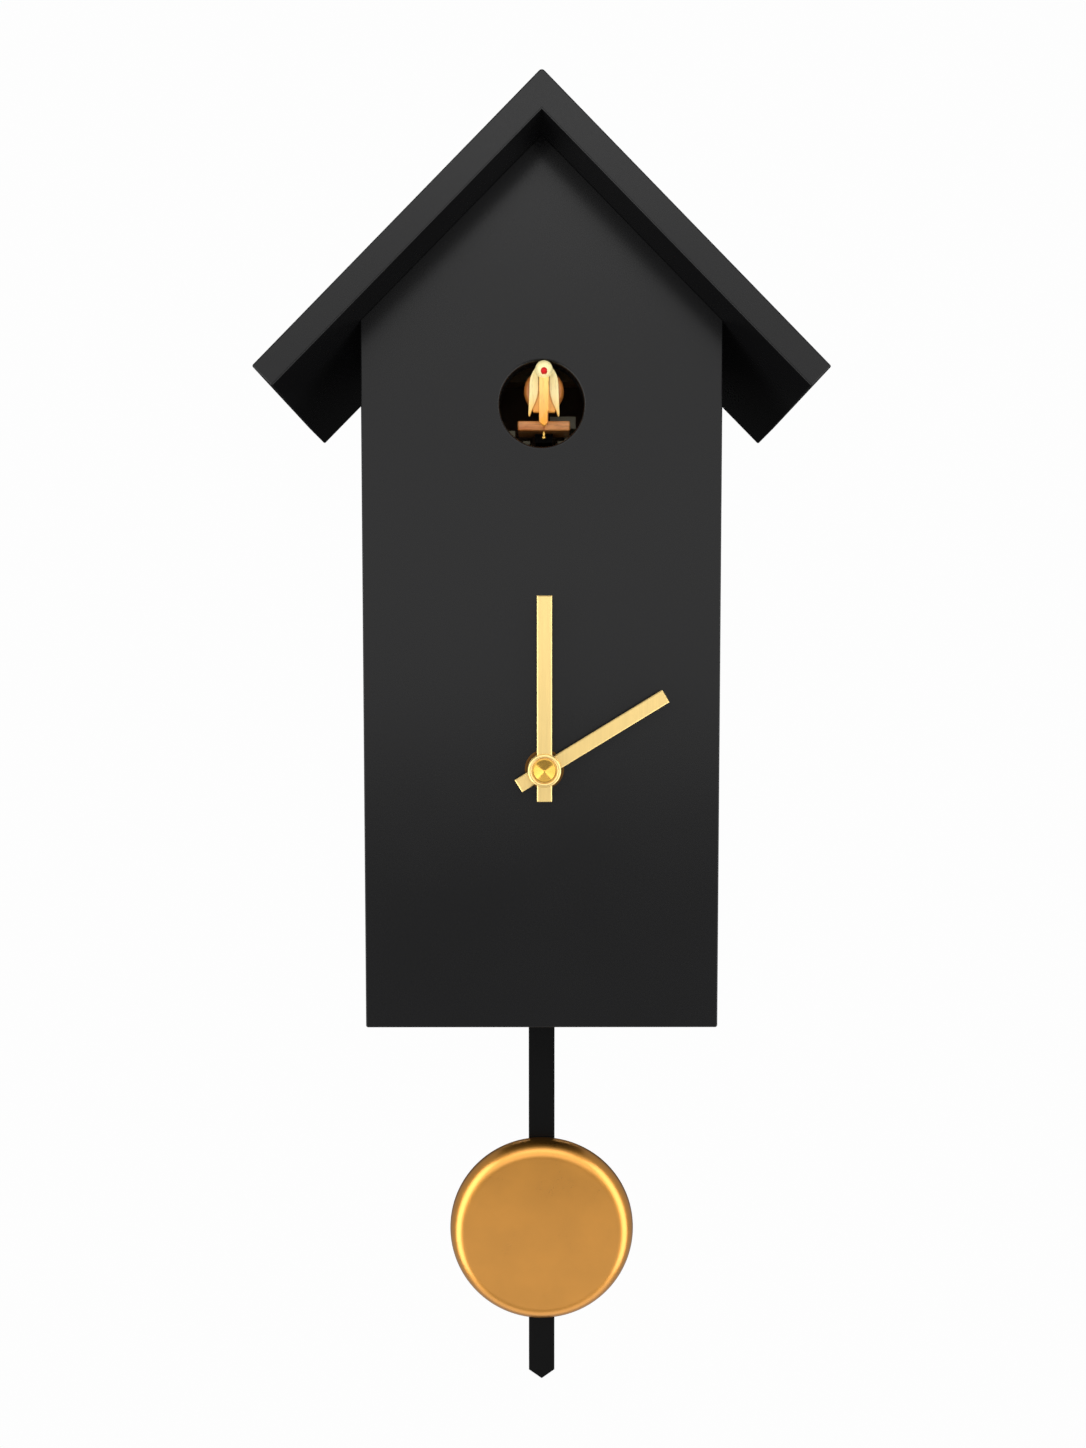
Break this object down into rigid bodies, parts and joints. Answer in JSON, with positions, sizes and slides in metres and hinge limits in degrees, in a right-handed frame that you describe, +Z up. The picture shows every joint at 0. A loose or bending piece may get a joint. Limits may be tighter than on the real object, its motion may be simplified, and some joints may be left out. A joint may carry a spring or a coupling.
{
  "type": "pendulum wall clock",
  "caption": "Matt black house-shaped wall clock with a gabled roof, a bird in a round hole, gold hands and a swinging pendulum with a satin gold bob.",
  "frame": {"origin": "centre of the round part of the keyhole in the hanger plate, on the plane of the wall", "axes": "+Z up, -Y out of the wall towards the viewer, +X to the viewer's right"},
  "size_m": [0.245, 0.123, 0.6005],
  "materials": {
    "black_board": "matt black lacquer on fibreboard",
    "raw_board": "raw hardboard",
    "pine": "raw planed pine",
    "zinc_steel": "zinc plated",
    "black_plastic": "fine spark texture",
    "black_rubber": "matt",
    "gold_brass": "polished and lacquered",
    "hand_gold": "pale gold, brushed, bevelled edges",
    "bob_gold": "satin gold lacquer",
    "rod_black": "satin black",
    "copper_wire": "enamelled copper wire",
    "cell_wrap": "printed sleeve, plain",
    "nickel": "nickel plated spring steel",
    "lamination": "bare",
    "white_plastic": "natural acetal",
    "board_green": "solder mask",
    "magnet": "nickel plated ferrite",
    "olive_plastic": "moulded",
    "bird_orange": "satin lacquer",
    "bird_cream": "satin lacquer",
    "beak_red": "gloss",
    "perch_wood": "oiled",
    "paper_black": "speaker basket and cone",
    "red_plastic": "moulded"
  },
  "bodies": {
    "case": {"front_panel": "black_board", "side_wall_left": "black_board", "side_wall_right": "black_board", "bottom_panel": "black_board", "roof_board_left": "black_board", "roof_board_right": "black_board", "back_panel": "raw_board", "corner_blocks": "pine", "hanger_rail": "pine", "back_panel_screws": "zinc_steel", "hanger_plate": "zinc_steel", "hanger_screws": "zinc_steel", "housing_screws": "zinc_steel", "pendulum_pin": "zinc_steel", "wall_pads": "black_rubber", "rubber_washer": "black_rubber", "housing_front": "black_plastic", "housing_back": "black_plastic", "battery_cover": "black_plastic", "threaded_bush": "gold_brass", "metal_washer": "gold_brass", "hex_nut": "gold_brass", "stepper_coil": "copper_wire", "pendulum_coil": "copper_wire", "clock_battery": "cell_wrap", "contact_plus": "nickel", "contact_minus": "nickel", "stator": "lamination", "circuit_board": "board_green", "sound_board": "board_green", "cuckoo_frame": "olive_plastic", "cuckoo_motor": "olive_plastic", "speaker": "paper_black"},
    "minute_arbor": {"minute_arbor": "gold_brass", "minute_hand": "hand_gold", "cone_nut": "gold_brass"},
    "hour_pipe": {"hour_wheel": "white_plastic", "hour_hand": "hand_gold"},
    "minute_wheel": {"minute_wheel": "white_plastic", "setting_knob": "black_plastic"},
    "centre_wheel": {"centre_wheel": "white_plastic"},
    "fourth_wheel": {"fourth_wheel": "white_plastic"},
    "third_wheel": {"third_wheel": "white_plastic"},
    "second_wheel": {"second_wheel": "white_plastic"},
    "rotor": {"rotor": "magnet"},
    "pendulum": {"pendulum_lever": "white_plastic", "pendulum_magnet": "magnet", "pendulum_rod": "rod_black"},
    "bob": {"bob_shell": "bob_gold", "bob_back": "bob_gold", "bob_clip": "zinc_steel"},
    "carriage": {"cuckoo_carriage": "black_plastic", "perch_block": "perch_wood", "bird_body": "bird_orange", "bird_beak": "beak_red"},
    "drive_pinion": {"drive_pinion": "white_plastic"},
    "wing_left": {"wing_left": "bird_cream"},
    "wing_right": {"wing_right": "bird_cream"},
    "mode_switch": {"mode_switch": "white_plastic"},
    "test_button": {"test_button": "red_plastic"}
  },
  "joints": [
    {"name": "minute_turn", "type": "hinge", "parent": "case", "child": "minute_arbor", "pos_m": [0.0012, -0.1, -0.212], "axis": [0, 1, 0], "continuous": true},
    {"name": "hour_turn", "type": "hinge", "parent": "case", "child": "hour_pipe", "pos_m": [0.0012, -0.095, -0.212], "axis": [0, 1, 0], "continuous": true},
    {"name": "minute_wheel_turn", "type": "hinge", "parent": "case", "child": "minute_wheel", "pos_m": [0.0156, -0.08, -0.212], "axis": [0, 1, 0], "continuous": true},
    {"name": "third_turn", "type": "hinge", "parent": "case", "child": "third_wheel", "pos_m": [-0.009, -0.08, -0.19968], "axis": [0, 1, 0], "continuous": true},
    {"name": "centre_turn", "type": "hinge", "parent": "case", "child": "centre_wheel", "pos_m": [0.0012, -0.0824, -0.212], "axis": [0, 1, 0], "continuous": true},
    {"name": "fourth_turn", "type": "hinge", "parent": "case", "child": "fourth_wheel", "pos_m": [-0.0123, -0.08, -0.212], "axis": [0, 1, 0], "continuous": true},
    {"name": "second_turn", "type": "hinge", "parent": "case", "child": "second_wheel", "pos_m": [0.00143, -0.08, -0.19689], "axis": [0, 1, 0], "continuous": true},
    {"name": "rotor_turn", "type": "hinge", "parent": "case", "child": "rotor", "pos_m": [0.01177, -0.08, -0.19507], "axis": [0, 1, 0], "continuous": true},
    {"name": "pendulum_swing", "type": "hinge", "parent": "case", "child": "pendulum", "pos_m": [0, -0.064, -0.178], "axis": [0, 1, 0], "range_deg": [-6, 6]},
    {"name": "bob_slide", "type": "slide", "parent": "pendulum", "child": "bob", "axis": [0, 0, 1], "range_m": [-0.01, 0.01]},
    {"name": "carriage_slide", "type": "slide", "parent": "case", "child": "carriage", "axis": [0, -1, 0], "range_m": [0, 0.022]},
    {"name": "pinion_turn", "type": "hinge", "parent": "case", "child": "drive_pinion", "pos_m": [0.001, -0.062, -0.078], "axis": [1, 0, 0], "range_deg": [0, 212]},
    {"name": "wing_left_flap", "type": "hinge", "parent": "carriage", "child": "wing_left", "pos_m": [-0.0026, -0.0965, -0.037], "axis": [0, 1, 0], "range_deg": [0, 31]},
    {"name": "wing_right_flap", "type": "hinge", "parent": "carriage", "child": "wing_right", "pos_m": [0.0046, -0.0965, -0.037], "axis": [0, -1, 0], "range_deg": [0, 31]},
    {"name": "switch_slide", "type": "slide", "parent": "case", "child": "mode_switch", "axis": [1, 0, 0], "range_m": [0, 0.005]},
    {"name": "button_press", "type": "slide", "parent": "case", "child": "test_button", "axis": [0, -1, 0], "range_m": [0, 0.0012], "stiffness_N_per_m": 400}
  ],
  "couplings": [
    {"joint": "hour_turn", "follows": "minute_turn", "ratio": 0.083333},
    {"joint": "minute_wheel_turn", "follows": "minute_turn", "ratio": -0.33333},
    {"joint": "fourth_turn", "follows": "third_turn", "ratio": -0.13333},
    {"joint": "centre_turn", "follows": "third_turn", "ratio": 0.016667},
    {"joint": "second_turn", "follows": "third_turn", "ratio": -5},
    {"joint": "rotor_turn", "follows": "third_turn", "ratio": 30},
    {"joint": "pinion_turn", "follows": "carriage_slide", "rad_per_m": 166.67},
    {"joint": "wing_left_flap", "follows": "carriage_slide", "rad_per_m": 23.8},
    {"joint": "wing_right_flap", "follows": "carriage_slide", "rad_per_m": 23.8}
  ]
}
